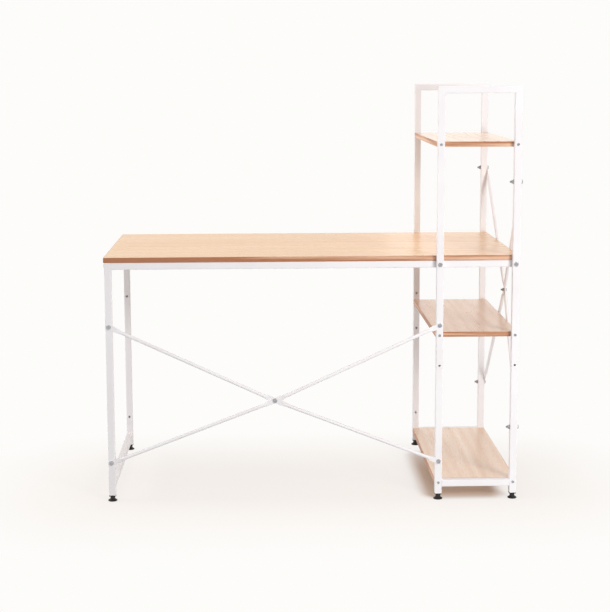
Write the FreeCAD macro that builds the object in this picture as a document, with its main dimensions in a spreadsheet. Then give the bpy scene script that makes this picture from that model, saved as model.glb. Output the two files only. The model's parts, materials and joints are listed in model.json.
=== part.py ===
import FreeCAD, Part
import math
import os
import Sketcher

# A desk with a shelf tower at its right end. X runs to the right, Y to the back and Z up from the floor.
# Lengths are in millimetres.

doc = FreeCAD.newDocument("desk_with_shelves")

SIZES = (
    # boards
    ("desktop_length", 1200),
    ("desktop_depth", 600),
    ("desktop_height", 722),
    ("board_thickness", 15),
    ("edge_band", 1),
    ("edge_round", 0.6),
    ("top_shelf_drop", 158),
    ("middle_shelf_height", 497.5),
    ("bottom_shelf_height", 58.5),
    # steel frame
    ("tower_width", 240),
    ("tower_height", 1208),
    ("tube_size", 20),
    ("tube_wall", 1.2),
    ("tube_corner", 2),
    ("leg_inset", 2),
    ("stretcher_height", 58.5),
    ("foot_height", 18),
    ("spare_hole_height", 401.5),
    ("spare_brace_upper", 519),
    ("spare_brace_lower", 113),
    # crossed braces
    ("front_brace_upper", 520),
    ("front_brace_lower", 116),
    ("front_brace_drop", 14),
    ("front_brace_bow", 14),
    ("side_brace_upper", 935),
    ("side_brace_lower", 214.5),
    ("side_brace_bow", 10),
    ("brace_diameter", 10),
    ("brace_wall", 1),
    ("brace_flat_width", 15),
    ("brace_flat_thickness", 2),
    ("brace_end_margin", 6),
    ("brace_middle_margin", 1.5),
    ("brace_taper", 16),
    # bolts, nuts and washers
    ("bolt_diameter", 6),
    ("bolt_head_diameter", 13),
    ("bolt_head_edge", 1.4),
    ("bolt_head_height", 3.6),
    ("bolt_head_top", 8),
    ("bolt_socket_width", 4),
    ("bolt_socket_depth", 2.2),
    ("bolt_tail", 5),
    ("hole_clearance", 0.3),
    ("nut_width", 10),
    ("nut_thickness", 5),
    ("washer_diameter", 14),
    ("washer_thickness", 1.2),
    # wood screws
    ("screw_diameter", 4),
    ("screw_tip", 4),
    ("screw_head_diameter", 8),
    ("screw_head_height", 2.4),
    ("screw_head_top", 4.4),
    ("screw_slot_width", 1.1),
    ("screw_slot_length", 3.6),
    ("screw_slot_depth", 1.4),
    ("shelf_screw_grip", 20),
    ("desk_screw_grip", 11),
    ("desk_screw_pitch", 450),
    ("pilot_clearance", 0.1),
    # pieces pressed into the tubes
    ("plug_clearance", 0.15),
    ("rivet_diameter", 9),
    ("rivet_bulge", 11.5),
    ("rivet_bulge_length", 3),
    ("rivet_length", 12),
    ("end_plug_length", 22),
    ("cap_thickness", 2),
    # levelling feet
    ("insert_flange", 3),
    ("insert_depth", 20),
    ("stem_diameter", 8),
    ("stem_chamfer", 1),
    ("stem_rise", 26),
    ("stem_seat", 4),
    ("slide_clearance", 0.3),
    ("pad_diameter", 27),
    ("pad_rim", 2.6),
    ("pad_shoulder", 7),
    ("neck_diameter", 14),
    # how far a cutting shape runs past what it cuts
    ("cut_overrun", 5),
)

PLACES = (
    # how far braces and bolt heads stand out, which sets the origin at the middle of the whole object
    ("side_reach", "sizes.side_brace_bow + 2 * sizes.brace_flat_thickness + sizes.bolt_head_height"),
    ("front_reach", "sizes.front_brace_bow + 2 * sizes.brace_flat_thickness + sizes.bolt_head_height"),
    ("tube_half", "sizes.tube_size / 2"),
    ("middle_x", "-side_reach / 2"),
    ("middle_y", "(front_reach - tube_half - sizes.screw_head_height) / 2"),
    # outline of the desktop
    ("left_edge", "middle_x - sizes.desktop_length / 2"),
    ("right_edge", "middle_x + sizes.desktop_length / 2"),
    ("front_edge", "middle_y - sizes.desktop_depth / 2"),
    ("rear_edge", "middle_y + sizes.desktop_depth / 2"),
    ("half_depth", "sizes.desktop_depth / 2"),
    ("board_half", "sizes.board_thickness / 2"),
    ("desktop_bottom", "sizes.desktop_height - sizes.board_thickness"),
    ("desktop_core_length", "sizes.desktop_length - 2 * sizes.edge_band"),
    ("core_depth", "sizes.desktop_depth - 2 * sizes.edge_band"),
    ("core_half_depth", "core_depth / 2"),
    ("shelf_core_length", "sizes.tower_width - 2 * sizes.edge_band"),
    ("shelf_middle_x", "right_edge - sizes.tower_width / 2"),
    ("top_shelf_bottom", "sizes.tower_height - sizes.top_shelf_drop - sizes.board_thickness"),
    ("middle_shelf_bottom", "sizes.middle_shelf_height - sizes.board_thickness"),
    ("bottom_shelf_bottom", "sizes.bottom_shelf_height - sizes.board_thickness"),
    ("top_screw_z", "top_shelf_bottom + board_half"),
    ("middle_screw_z", "middle_shelf_bottom + board_half"),
    ("bottom_screw_z", "bottom_shelf_bottom + board_half"),
    # tubes
    ("tube_bore", "sizes.tube_size - 2 * sizes.tube_wall"),
    ("leg_x", "left_edge + sizes.leg_inset + tube_half"),
    ("leg_outer_x", "leg_x - tube_half"),
    ("leg_inner_x", "leg_x + tube_half"),
    ("leg_front_y", "front_edge + tube_half"),
    ("leg_rear_y", "rear_edge - tube_half"),
    ("leg_length", "desktop_bottom - sizes.foot_height"),
    ("post_left_x", "right_edge - sizes.tower_width + tube_half"),
    ("post_right_x", "right_edge - tube_half"),
    ("post_front_y", "front_edge - tube_half"),
    ("post_rear_y", "rear_edge + tube_half"),
    ("front_face_y", "front_edge - sizes.tube_size"),
    ("rear_face_y", "rear_edge + sizes.tube_size"),
    ("post_length", "sizes.tower_height - sizes.foot_height"),
    ("tower_left_x", "right_edge - sizes.tower_width"),
    ("rail_left_x", "tower_left_x + sizes.tube_size"),
    ("top_rail_z", "sizes.tower_height - tube_half"),
    ("bottom_rail_z", "sizes.bottom_shelf_height - tube_half"),
    ("bottom_rail_length", "sizes.tower_width - 2 * sizes.tube_size"),
    ("apron_z", "desktop_bottom - tube_half"),
    ("apron_under_z", "desktop_bottom - sizes.tube_size"),
    ("apron_length", "right_edge - sizes.cap_thickness - leg_inner_x"),
    ("apron_end_x", "leg_inner_x + apron_length"),
    ("cross_start_y", "front_edge + sizes.tube_size"),
    ("cross_length", "sizes.desktop_depth - 2 * sizes.tube_size"),
    ("stretcher_z", "sizes.stretcher_height - tube_half"),
    # mitred corners of the tower's two frames
    ("miter_out", "tube_half + sizes.cut_overrun"),
    ("miter_in", "-miter_out"),
    ("post_miter_high", "post_length + sizes.cut_overrun"),
    ("post_miter_low", "post_length - sizes.tube_size - sizes.cut_overrun"),
    ("rail_start_out", "-sizes.cut_overrun"),
    ("rail_start_in", "sizes.tube_size + sizes.cut_overrun"),
    ("rail_end_out", "sizes.tower_width + sizes.cut_overrun"),
    ("rail_end_in", "sizes.tower_width - sizes.tube_size - sizes.cut_overrun"),
    # holes along the tubes, from the end where each tube starts
    ("bolt_hole", "sizes.bolt_diameter + 2 * sizes.hole_clearance"),
    ("screw_hole", "sizes.screw_diameter + 2 * sizes.hole_clearance"),
    ("pilot_hole", "sizes.screw_diameter + 2 * sizes.pilot_clearance"),
    ("rivet_hole", "sizes.rivet_diameter + 2 * sizes.pilot_clearance"),
    ("top_screw_at", "top_screw_z - sizes.foot_height"),
    ("middle_screw_at", "middle_screw_z - sizes.foot_height"),
    ("bottom_screw_at", "bottom_screw_z - sizes.foot_height"),
    ("spare_hole_at", "sizes.spare_hole_height - sizes.foot_height"),
    ("apron_bolt_at", "apron_z - sizes.foot_height"),
    ("front_upper_at", "sizes.front_brace_upper - sizes.foot_height"),
    ("front_lower_at", "sizes.front_brace_lower - sizes.foot_height"),
    ("rear_upper_at", "sizes.spare_brace_upper - sizes.foot_height"),
    ("rear_lower_at", "sizes.spare_brace_lower - sizes.foot_height"),
    ("side_upper_at", "sizes.side_brace_upper - sizes.foot_height"),
    ("side_lower_at", "sizes.side_brace_lower - sizes.foot_height"),
    ("rivet_left_at", "post_left_x - leg_inner_x"),
    ("rivet_right_at", "post_right_x - leg_inner_x"),
    ("desk_screw_left_x", "middle_x - sizes.desk_screw_pitch"),
    ("desk_screw_right_x", "middle_x + sizes.desk_screw_pitch"),
    ("desk_screw_left_at", "desk_screw_left_x - leg_inner_x"),
    ("desk_screw_middle_at", "middle_x - leg_inner_x"),
    ("desk_screw_right_at", "desk_screw_right_x - leg_inner_x"),
    # holes in the boards, from the middle of each board
    ("shelf_hole_right", "sizes.tower_width / 2 - tube_half"),
    ("shelf_hole_left", "-shelf_hole_right"),
    ("desk_hole_left", "-sizes.desk_screw_pitch"),
    ("desk_hole_rear", "half_depth - tube_half"),
    ("desk_hole_front", "-desk_hole_rear"),
    # bolts and screws, each along Z with the underside of its head at zero
    ("bolt_radius", "sizes.bolt_diameter / 2"),
    ("bolt_head_radius", "sizes.bolt_head_diameter / 2"),
    ("bolt_top_radius", "sizes.bolt_head_top / 2"),
    ("bolt_socket_radius", "sizes.bolt_socket_width / 2 / cos(30 deg)"),
    ("bolt_socket_floor", "sizes.bolt_head_height - sizes.bolt_socket_depth"),
    ("nut_radius", "sizes.nut_width / 2 / cos(30 deg)"),
    ("nut_bore", "bolt_radius + sizes.pilot_clearance"),
    ("washer_radius", "sizes.washer_diameter / 2"),
    ("washer_bore", "bolt_radius + sizes.hole_clearance"),
    ("nut_stack", "sizes.washer_thickness + sizes.nut_thickness + sizes.bolt_tail"),
    ("brace_bolt_end", "-sizes.brace_flat_thickness - sizes.tube_size - nut_stack"),
    ("middle_bolt_end", "-2 * sizes.brace_flat_thickness - sizes.nut_thickness - sizes.bolt_tail"),
    ("apron_bolt_end", "-sizes.tube_size - sizes.rivet_length"),
    ("leg_bolt_end", "-sizes.tube_size - sizes.end_plug_length"),
    ("screw_radius", "sizes.screw_diameter / 2"),
    ("screw_head_radius", "sizes.screw_head_diameter / 2"),
    ("screw_top_radius", "sizes.screw_head_top / 2"),
    ("screw_slot_floor", "sizes.screw_head_height - sizes.screw_slot_depth"),
    ("shelf_screw_tip", "-sizes.tube_size - sizes.shelf_screw_grip"),
    ("shelf_screw_point", "shelf_screw_tip + sizes.screw_tip"),
    ("desk_screw_tip", "-sizes.tube_size - sizes.desk_screw_grip"),
    ("desk_screw_point", "desk_screw_tip + sizes.screw_tip"),
    # pieces pressed into the tubes
    ("plug_size", "tube_bore - 2 * sizes.plug_clearance"),
    ("rivet_radius", "sizes.rivet_diameter / 2"),
    ("rivet_bulge_radius", "sizes.rivet_bulge / 2"),
    ("rivet_bulge_start", "-sizes.tube_wall"),
    ("rivet_bulge_end", "rivet_bulge_start - sizes.rivet_bulge_length"),
    ("rivet_end", "-sizes.rivet_length"),
    ("plug_thread", "2 * nut_bore"),
    # levelling feet, from the floor up
    ("insert_bottom", "sizes.foot_height - sizes.insert_flange"),
    ("insert_hole", "sizes.stem_diameter + 2 * sizes.slide_clearance"),
    ("stem_radius", "sizes.stem_diameter / 2"),
    ("stem_tip_radius", "stem_radius - sizes.stem_chamfer"),
    ("stem_top", "sizes.foot_height + sizes.stem_rise"),
    ("stem_straight_top", "stem_top - sizes.stem_chamfer"),
    ("pad_radius", "sizes.pad_diameter / 2"),
    ("neck_radius", "sizes.neck_diameter / 2"),
    ("neck_top", "insert_bottom - sizes.slide_clearance"),
    ("pad_bore", "stem_radius + sizes.pilot_clearance"),
)


def fill_sheet(name, rows, lead):
    """A sheet with one named cell in each row."""
    sheet = doc.addObject("Spreadsheet::Sheet", name)
    for row, (alias, content) in enumerate(rows, 1):
        sheet.set(f"A{row}", alias)
        sheet.set(f"B{row}", f"{lead}{content}")
        sheet.setAlias(f"B{row}", alias)
    doc.recompute()
    return sheet


SHEETS = {
    "sizes": fill_sheet("sizes", SIZES, ""),
    "places": fill_sheet("places", PLACES, "="),
}

UP = FreeCAD.Vector(0, 0, 1)
DOWN = FreeCAD.Vector(0, 0, -1)
FRONT = FreeCAD.Vector(0, -1, 0)
REAR = FreeCAD.Vector(0, 1, 0)
LEFT = FreeCAD.Vector(-1, 0, 0)
RIGHT = FreeCAD.Vector(1, 0, 0)

# turns that lay a tube's own Z along the named axis
RUNS = {
    "x": FreeCAD.Rotation(REAR, 90),
    "y": FreeCAD.Rotation(RIGHT, -90),
    "z": FreeCAD.Rotation(),
}

ZERO = "zero"
nodes = []


def number(cell):
    """The value of a cell, such as sizes.tube_size."""
    if cell == ZERO:
        return 0.0
    sheet, alias = cell.split(".")
    return float(SHEETS[sheet].get(alias))


def spot(x, y, z):
    return FreeCAD.Vector(number(x), number(y), number(z))


def place(thing, x, y, z, run="z"):
    """Puts an object at a place that follows three cells."""
    thing.Placement = FreeCAD.Placement(spot(x, y, z), RUNS[run])
    for axis, cell in (("x", x), ("y", y), ("z", z)):
        if cell != ZERO:
            thing.setExpression(f"Placement.Base.{axis}", cell)


def new_body(label):
    body = doc.addObject("PartDesign::Body", label)
    body.Label = label
    return body


def plane_of(body, role):
    return next(f for f in body.Origin.OriginFeatures if f.Role == role)


def new_sketch(body, role):
    sketch = body.newObject("Sketcher::SketchObject", "outline")
    sketch.AttachmentSupport = [(plane_of(body, role), "")]
    sketch.MapMode = "FlatFace"
    return sketch


def hold(sketch, kind, where, cell):
    """Adds a constraint whose value follows a cell."""
    index = sketch.addConstraint(Sketcher.Constraint(kind, *where, number(cell)))
    sketch.setExpression(f"Constraints[{index}]", cell)


def pin(sketch, where, x, y):
    """Holds a point of the sketch at the coordinates in two cells."""
    for kind, cell, axis in (("DistanceX", x, -2), ("DistanceY", y, -1)):
        if cell == ZERO:
            sketch.addConstraint(Sketcher.Constraint("PointOnObject", *where, axis))
        else:
            hold(sketch, kind, (-1, 1, *where), cell)


def join_ends(sketch, first, count, kind):
    """Joins each edge's end to the next edge's start, all the way round."""
    for step in range(count):
        following = first + (step + 1) % count
        sketch.addConstraint(Sketcher.Constraint(kind, first + step, 2, following, 1))


def add_polygon(sketch, corners):
    """A closed outline through corners that follow cells."""
    first = sketch.GeometryCount
    points = [FreeCAD.Vector(number(x), number(y), 0) for x, y in corners]
    for start, end in zip(points, points[1:] + points[:1]):
        sketch.addGeometry(Part.LineSegment(start, end))
    join_ends(sketch, first, len(corners), "Coincident")
    for step, (x, y) in enumerate(corners):
        pin(sketch, (first + step, 1), x, y)


def add_rectangle(sketch, width, height):
    """A rectangle about the sketch's origin."""
    first = sketch.GeometryCount
    w, h = number(width) / 2, number(height) / 2
    points = [FreeCAD.Vector(x, y, 0) for x, y in ((-w, -h), (w, -h), (w, h), (-w, h))]
    for start, end in zip(points, points[1:] + points[:1]):
        sketch.addGeometry(Part.LineSegment(start, end))
    join_ends(sketch, first, len(points), "Coincident")
    for step, kind in enumerate(("Horizontal", "Vertical", "Horizontal", "Vertical")):
        sketch.addConstraint(Sketcher.Constraint(kind, first + step))
    hold(sketch, "DistanceX", (first, 1, first, 2), width)
    hold(sketch, "DistanceY", (first + 1, 1, first + 1, 2), height)
    sketch.addConstraint(Sketcher.Constraint("Symmetric", first, 1, first + 2, 1, -1, 1))


def add_tube_outline(sketch):
    """The rounded square outside of a tube, with edges and corners in turn."""
    first = sketch.GeometryCount
    half, corner = number("places.tube_half"), number("sizes.tube_corner")
    flat = half - corner
    for turn in range(4):
        way = FreeCAD.Rotation(UP, 90 * turn)
        start = way.multVec(FreeCAD.Vector(-flat, -half, 0))
        end = way.multVec(FreeCAD.Vector(flat, -half, 0))
        middle = way.multVec(FreeCAD.Vector(flat, -flat, 0))
        opening = math.radians(90 * turn - 90)
        sketch.addGeometry(Part.LineSegment(start, end))
        circle = Part.Circle(middle, UP, corner)
        sketch.addGeometry(Part.ArcOfCircle(circle, opening, opening + math.radians(90)))
    join_ends(sketch, first, 8, "Tangent")
    for step, kind in ((0, "Horizontal"), (2, "Vertical"), (4, "Horizontal"), (6, "Vertical")):
        sketch.addConstraint(Sketcher.Constraint(kind, first + step))
    for step in (3, 5, 7):
        sketch.addConstraint(Sketcher.Constraint("Equal", first + 1, first + step))
    hold(sketch, "Radius", (first + 1,), "sizes.tube_corner")
    hold(sketch, "DistanceX", (first + 6, 1, first + 2, 1), "sizes.tube_size")
    hold(sketch, "DistanceY", (first, 1, first + 4, 1), "sizes.tube_size")
    sketch.addConstraint(Sketcher.Constraint("Symmetric", first + 1, 3, first + 5, 3, -1, 1))


def add_circles(sketch, centres, width):
    """Circles of one diameter, each centred at a pair of cells."""
    for x, y in centres:
        centre = FreeCAD.Vector(number(x), number(y), 0)
        index = sketch.addGeometry(Part.Circle(centre, UP, number(width) / 2))
        pin(sketch, (index, 3), x, y)
        hold(sketch, "Diameter", (index,), width)


def pad(body, sketch, length, backward=False):
    feature = body.newObject("PartDesign::Pad", "pad")
    feature.Profile = sketch
    feature.Reversed = backward
    feature.setExpression("Length", length)
    doc.recompute()
    return feature


def pocket(body, sketch, length=None, backward=False):
    """Cuts right through both ways, or one way to a stated depth."""
    before = body.Shape.Volume
    feature = body.newObject("PartDesign::Pocket", "pocket")
    feature.Profile = sketch
    if length is None:
        feature.Type = "ThroughAll"
        feature.SideType = "Symmetric"
    else:
        feature.Reversed = backward
        feature.setExpression("Length", length)
    doc.recompute()
    if not body.Shape.Volume < before:
        raise RuntimeError(f"a pocket in {body.Label} cuts nothing")
    return feature


def revolve(label, corners):
    """A turned piece: corners give radius and height along Z."""
    body = new_body(label)
    sketch = new_sketch(body, "XZ_Plane")
    add_polygon(sketch, corners)
    feature = body.newObject("PartDesign::Revolution", "turning")
    feature.Profile = sketch
    feature.ReferenceAxis = (sketch, ["V_Axis"])
    doc.recompute()
    return body


def keep(thing):
    """Marks an object as a piece of the desk."""
    nodes.append(thing)
    return thing


def tube(label, length, run, x, y, z):
    """A square steel tube that starts at a place and runs along an axis."""
    body = new_body(label)
    profile = new_sketch(body, "XY_Plane")
    add_tube_outline(profile)
    add_rectangle(profile, "places.tube_bore", "places.tube_bore")
    pad(body, profile, length)
    place(body, x, y, z, run)
    return keep(body)


def drill(body, role, spots, width, length=None, backward=False):
    """Round holes across a tube, at distances from its start."""
    sketch = new_sketch(body, role)
    add_circles(sketch, [(ZERO, at) for at in spots], width)
    pocket(body, sketch, length, backward)


def trim(body, corners):
    """Cuts a tube's end to a slope, seen from the front."""
    sketch = new_sketch(body, "XZ_Plane")
    add_polygon(sketch, corners)
    pocket(body, sketch)


# brace holes and spare ones: right through the tubes in front, and at the back only the wall that faces the front
HOLE_REACH = {"front": (None,), "rear": ("sizes.tube_size", True)}

# left end frame
for side in ("front", "rear"):
    leg = tube(f"left_{side}_leg", "places.leg_length", "z",
               "places.leg_x", f"places.leg_{side}_y", "sizes.foot_height")
    drill(leg, "XZ_Plane", (f"places.{side}_upper_at", f"places.{side}_lower_at"), "places.bolt_hole",
          *HOLE_REACH[side])
    drill(leg, "YZ_Plane", ("places.apron_bolt_at",), "places.bolt_hole")
tube("left_top_rail", "places.cross_length", "y",
     "places.leg_x", "places.cross_start_y", "places.apron_z")
tube("left_stretcher", "places.cross_length", "y",
     "places.leg_x", "places.cross_start_y", "places.stretcher_z")

# front and rear frames of the tower
SHELF_SCREWS = ("places.top_screw_at", "places.middle_screw_at", "places.bottom_screw_at")
for side in ("front", "rear"):
    for hand in ("left", "right"):
        post = tube(f"tower_{side}_{hand}_post", "places.post_length", "z",
                    f"places.post_{hand}_x", f"places.post_{side}_y", "sizes.foot_height")
        outer, inner = "places.miter_in", "places.miter_out"
        if hand == "right":
            outer, inner = inner, outer
        trim(post, ((outer, "places.post_miter_high"),
                    (inner, "places.post_miter_high"),
                    (inner, "places.post_miter_low")))
        drill(post, "XZ_Plane", SHELF_SCREWS, "places.screw_hole")
        drill(post, "XZ_Plane", ("places.apron_bolt_at",), "places.bolt_hole")
        others = ["places.spare_hole_at"]
        if hand == "left":
            others += [f"places.{side}_upper_at", f"places.{side}_lower_at"]
        else:
            drill(post, "YZ_Plane", ("places.side_upper_at", "places.side_lower_at"), "places.bolt_hole")
        drill(post, "XZ_Plane", others, "places.bolt_hole", *HOLE_REACH[side])
    rail = tube(f"tower_{side}_top_rail", "sizes.tower_width", "x",
                "places.tower_left_x", f"places.post_{side}_y", "places.top_rail_z")
    trim(rail, (("places.miter_in", "places.rail_start_out"),
                ("places.miter_out", "places.rail_start_out"),
                ("places.miter_out", "places.rail_start_in")))
    trim(rail, (("places.miter_in", "places.rail_end_out"),
                ("places.miter_out", "places.rail_end_out"),
                ("places.miter_out", "places.rail_end_in")))
    tube(f"tower_{side}_bottom_rail", "places.bottom_rail_length", "x",
         "places.rail_left_x", f"places.post_{side}_y", "places.bottom_rail_z")

# rails under the desktop's long edges
for side in ("front", "rear"):
    apron = tube(f"{side}_apron", "places.apron_length", "x",
                 "places.leg_inner_x", f"places.leg_{side}_y", "places.apron_z")
    drill(apron, "XZ_Plane", ("places.rivet_left_at", "places.rivet_right_at"),
          "places.rivet_hole", "sizes.tube_size", side == "front")
    drill(apron, "YZ_Plane",
          ("places.desk_screw_left_at", "places.desk_screw_middle_at", "places.desk_screw_right_at"),
          "places.screw_hole")


def outer_edges(shape, length, depth):
    """Names of the edges that lie on the outside of a band."""
    near = number("sizes.edge_band") / 2
    found = []
    for index, edge in enumerate(shape.Edges, 1):
        middle = edge.BoundBox.Center
        if abs(middle.x) > length / 2 - near or abs(middle.y) > depth / 2 - near:
            found.append(f"Edge{index}")
    return found


def banded_board(label, length, core_length, x, z):
    """A board's core and the thin band glued round its edge."""
    core = new_body(label)
    sketch = new_sketch(core, "XY_Plane")
    add_rectangle(sketch, core_length, "places.core_depth")
    pad(core, sketch, "sizes.board_thickness")
    place(core, x, "places.middle_y", z)
    band = new_body(f"{label}_edge_band")
    sketch = new_sketch(band, "XY_Plane")
    add_rectangle(sketch, length, "sizes.desktop_depth")
    add_rectangle(sketch, core_length, "places.core_depth")
    ring = pad(band, sketch, "sizes.board_thickness")
    rounding = band.newObject("PartDesign::Fillet", "rounding")
    rounding.Base = (ring, outer_edges(ring.Shape, number(length), number("sizes.desktop_depth")))
    rounding.setExpression("Radius", "sizes.edge_round")
    doc.recompute()
    place(band, x, "places.middle_y", z)
    return keep(core), keep(band)


desktop, desktop_band = banded_board("desktop", "sizes.desktop_length", "places.desktop_core_length",
                                     "places.middle_x", "places.desktop_bottom")
holes = new_sketch(desktop, "XY_Plane")
add_circles(holes, [(x, y) for x in ("places.desk_hole_left", ZERO, "sizes.desk_screw_pitch")
                    for y in ("places.desk_hole_front", "places.desk_hole_rear")], "places.pilot_hole")
pocket(desktop, holes, "sizes.desk_screw_grip", True)

SHELVES = ("top_shelf", "middle_shelf", "bottom_shelf")
for shelf in SHELVES:
    core, band = banded_board(shelf, "sizes.tower_width", "places.shelf_core_length",
                              "places.shelf_middle_x", f"places.{shelf}_bottom")
    for board in (core, band):
        holes = new_sketch(board, "XZ_Plane")
        add_circles(holes, [(x, "places.board_half") for x in
                            ("places.shelf_hole_left", "places.shelf_hole_right")], "places.pilot_hole")
        if board is band:
            pocket(board, holes)
            continue
        # blind holes in the front edge, mirrored to the rear edge
        holes.setExpression("AttachmentOffset.Base.z", "places.core_half_depth")
        front_holes = pocket(board, holes, "sizes.shelf_screw_grip")
        mirrored = board.newObject("PartDesign::Mirrored", "mirrored")
        mirrored.Originals = [front_holes]
        mirrored.MirrorPlane = (plane_of(board, "XZ_Plane"), [""])
        board.Tip = mirrored
        doc.recompute()


def flat_section(middle, along, out):
    """The rectangle of a brace's flattened part, across its run."""
    side = out.cross(along)
    half_width = number("sizes.brace_flat_width") / 2
    half_thickness = number("sizes.brace_flat_thickness") / 2
    corners = [middle + side * (half_width * a) + out * (half_thickness * b)
               for a, b in ((1, 1), (-1, 1), (-1, -1), (1, -1))]
    return Part.makePolygon(corners + corners[:1])


def round_section(middle, along, out, radius):
    """The circle of a brace's round part, in four arcs that face the rectangle's four sides."""
    side = out.cross(along)
    side.normalize()
    front = along.cross(side)

    def rim(degrees):
        angle = math.radians(degrees)
        return middle + side * (radius * math.cos(angle)) + front * (radius * math.sin(angle))

    stops = (30, 90, 150, 180, 210, 270, 330, 360)
    arcs = []
    for step in range(0, 8, 2):
        last = stops[(step + 2) % 8]
        arcs.append(Part.Arc(rim(stops[step]), rim(stops[step + 1]), rim(last)).toShape())
    return Part.Wire(arcs)


def flattened(vector, out):
    """A direction turned into the plane square to out."""
    level = vector - out * vector.dot(out)
    level.normalize()
    return level


def brace(label, start, middle, end, out, middle_flat):
    """A round tube flattened at both ends and at the middle, bolted at those three places."""
    taper = number("sizes.brace_taper")
    radius = number("sizes.brace_diameter") / 2
    bore = radius - number("sizes.brace_wall")
    half_width = number("sizes.brace_flat_width") / 2
    post_half = number("places.tube_half")
    margin = number("sizes.brace_end_margin")
    thickness = number("sizes.brace_flat_thickness")
    across = flattened(end - start, out)
    solids, bores = [], []
    flats = []
    for tip, way in ((start, 1), (end, -1)):
        along = flattened((middle - tip) * way, out)
        # flat until the whole width has left the upright tube that it lies on
        rise = abs(along.z)
        end_flat = (post_half + half_width * rise) / math.sqrt(1 - rise ** 2) + margin
        inner = tip + along * (end_flat * way)
        near = middle - across * (middle_flat * way)
        run = (near - inner) * way
        run.normalize()
        first = inner + run * (taper * way)
        last = near - run * (taper * way)
        sections = [flat_section(inner, along, out), round_section(first, run, out, radius),
                    round_section(last, run, out, radius), flat_section(near, across, out)]
        hollow = [round_section(first, run, out, bore), round_section(last, run, out, bore)]
        solids.append(Part.makeLoft(sections, True, True))
        bores.append(Part.makeLoft(hollow, True, True))
        flats.append(near)
        # the end pad, round about its bolt
        side = out.cross(along) * half_width
        back = out * (thickness / -2)
        rounded = Part.Arc(tip + side + back, tip - along * (half_width * way) + back, tip - side + back)
        sides = Part.makePolygon([tip - side + back, inner - side + back,
                                  inner + side + back, tip + side + back])
        outline = Part.Wire([rounded.toShape()] + sides.Edges)
        solids.append(Part.Face(outline).extrude(out * thickness))
    middle_pad = Part.Face(flat_section(flats[0], across, out)).extrude(flats[1] - flats[0])
    shape = middle_pad.fuse(solids).removeSplitter()
    length = thickness + 2 * number("sizes.cut_overrun")
    holes = [Part.makeCylinder(number("places.bolt_hole") / 2, length, at - out * (length / 2), out)
             for at in (start, middle, end)]
    feature = doc.addObject("Part::Feature", label)
    feature.Label = label
    feature.Shape = shape.cut(bores + holes).Solids[0]
    return keep(feature)


def crossed_braces(labels, corners, crossing, out):
    """Two braces bolted to four corners and to each other at their crossing, one lying on the other."""
    thickness = number("sizes.brace_flat_thickness")
    ways = [flattened(b - a, out) for a, b in corners]
    angle = ways[0].getAngle(ways[1])
    angle = min(angle, math.pi - angle)
    middle_flat = number("sizes.brace_flat_width") / 2 / math.tan(angle / 2)
    middle_flat += number("sizes.brace_middle_margin")
    for layer, (label, (a, b)) in enumerate(zip(labels, corners)):
        lift = out * (thickness / 2)
        brace(label, a + lift, crossing + lift + out * (thickness * layer), b + lift, out, middle_flat)


# crossed braces between the left end frame and the tower, in front
leg_top = spot("places.leg_x", "places.front_edge", "sizes.front_brace_upper")
leg_low = spot("places.leg_x", "places.front_edge", "sizes.front_brace_lower")
post_top = spot("places.post_left_x", "places.front_face_y", "sizes.front_brace_upper")
post_low = spot("places.post_left_x", "places.front_face_y", "sizes.front_brace_lower")
front_crossing = (leg_top + leg_low + post_top + post_low) * 0.25
front_crossing += DOWN * number("sizes.front_brace_drop") + FRONT * number("sizes.front_brace_bow")
crossed_braces(("front_brace_falling", "front_brace_rising"),
               ((leg_top, post_low), (leg_low, post_top)), front_crossing, FRONT)

# crossed braces on the tower's right side
SIDE_CORNERS = [spot("places.right_edge", f"places.post_{side}_y", f"sizes.side_brace_{level}")
                for side in ("front", "rear") for level in ("upper", "lower")]
front_top, front_low, rear_top, rear_low = SIDE_CORNERS
side_crossing = (front_top + front_low + rear_top + rear_low) * 0.25
side_crossing += RIGHT * number("sizes.side_brace_bow")
crossed_braces(("side_brace_falling", "side_brace_rising"),
               ((front_top, rear_low), (front_low, rear_top)), side_crossing, RIGHT)


def bolt(name, end):
    """A bolt with a domed head and a six-sided socket, along Z with its head upward."""
    turned = revolve(f"{name}_turned", (
        (ZERO, end), ("places.bolt_radius", end), ("places.bolt_radius", ZERO),
        ("places.bolt_head_radius", ZERO), ("places.bolt_head_radius", "sizes.bolt_head_edge"),
        ("places.bolt_top_radius", "sizes.bolt_head_height"), (ZERO, "sizes.bolt_head_height")))
    socket = doc.addObject("Part::Prism", f"{name}_socket")
    socket.Polygon = 6
    socket.setExpression("Circumradius", "places.bolt_socket_radius")
    socket.setExpression("Height", "sizes.bolt_socket_depth")
    place(socket, ZERO, ZERO, "places.bolt_socket_floor")
    cut = doc.addObject("Part::Cut", name)
    cut.Base, cut.Tool = turned, socket
    doc.recompute()
    return cut


def screw(name, point, tip):
    """A pan-headed wood screw with a crossed slot, along Z with its head upward."""
    turned = revolve(f"{name}_turned", (
        (ZERO, tip), ("places.screw_radius", point), ("places.screw_radius", ZERO),
        ("places.screw_head_radius", ZERO), ("places.screw_top_radius", "sizes.screw_head_height"),
        (ZERO, "sizes.screw_head_height")))
    slots = []
    for length, width in (("screw_slot_length", "screw_slot_width"), ("screw_slot_width", "screw_slot_length")):
        slot = doc.addObject("Part::Box", f"{name}_slot")
        slot.setExpression("Length", f"sizes.{length}")
        slot.setExpression("Width", f"sizes.{width}")
        slot.setExpression("Height", "sizes.screw_slot_depth")
        slot.setExpression("Placement.Base.x", f"-sizes.{length} / 2")
        slot.setExpression("Placement.Base.y", f"-sizes.{width} / 2")
        slot.setExpression("Placement.Base.z", "places.screw_slot_floor")
        slots.append(slot)
    cross = doc.addObject("Part::MultiFuse", f"{name}_cross")
    cross.Shapes = slots
    cut = doc.addObject("Part::Cut", name)
    cut.Base, cut.Tool = turned, cross
    doc.recompute()
    return cut


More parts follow.
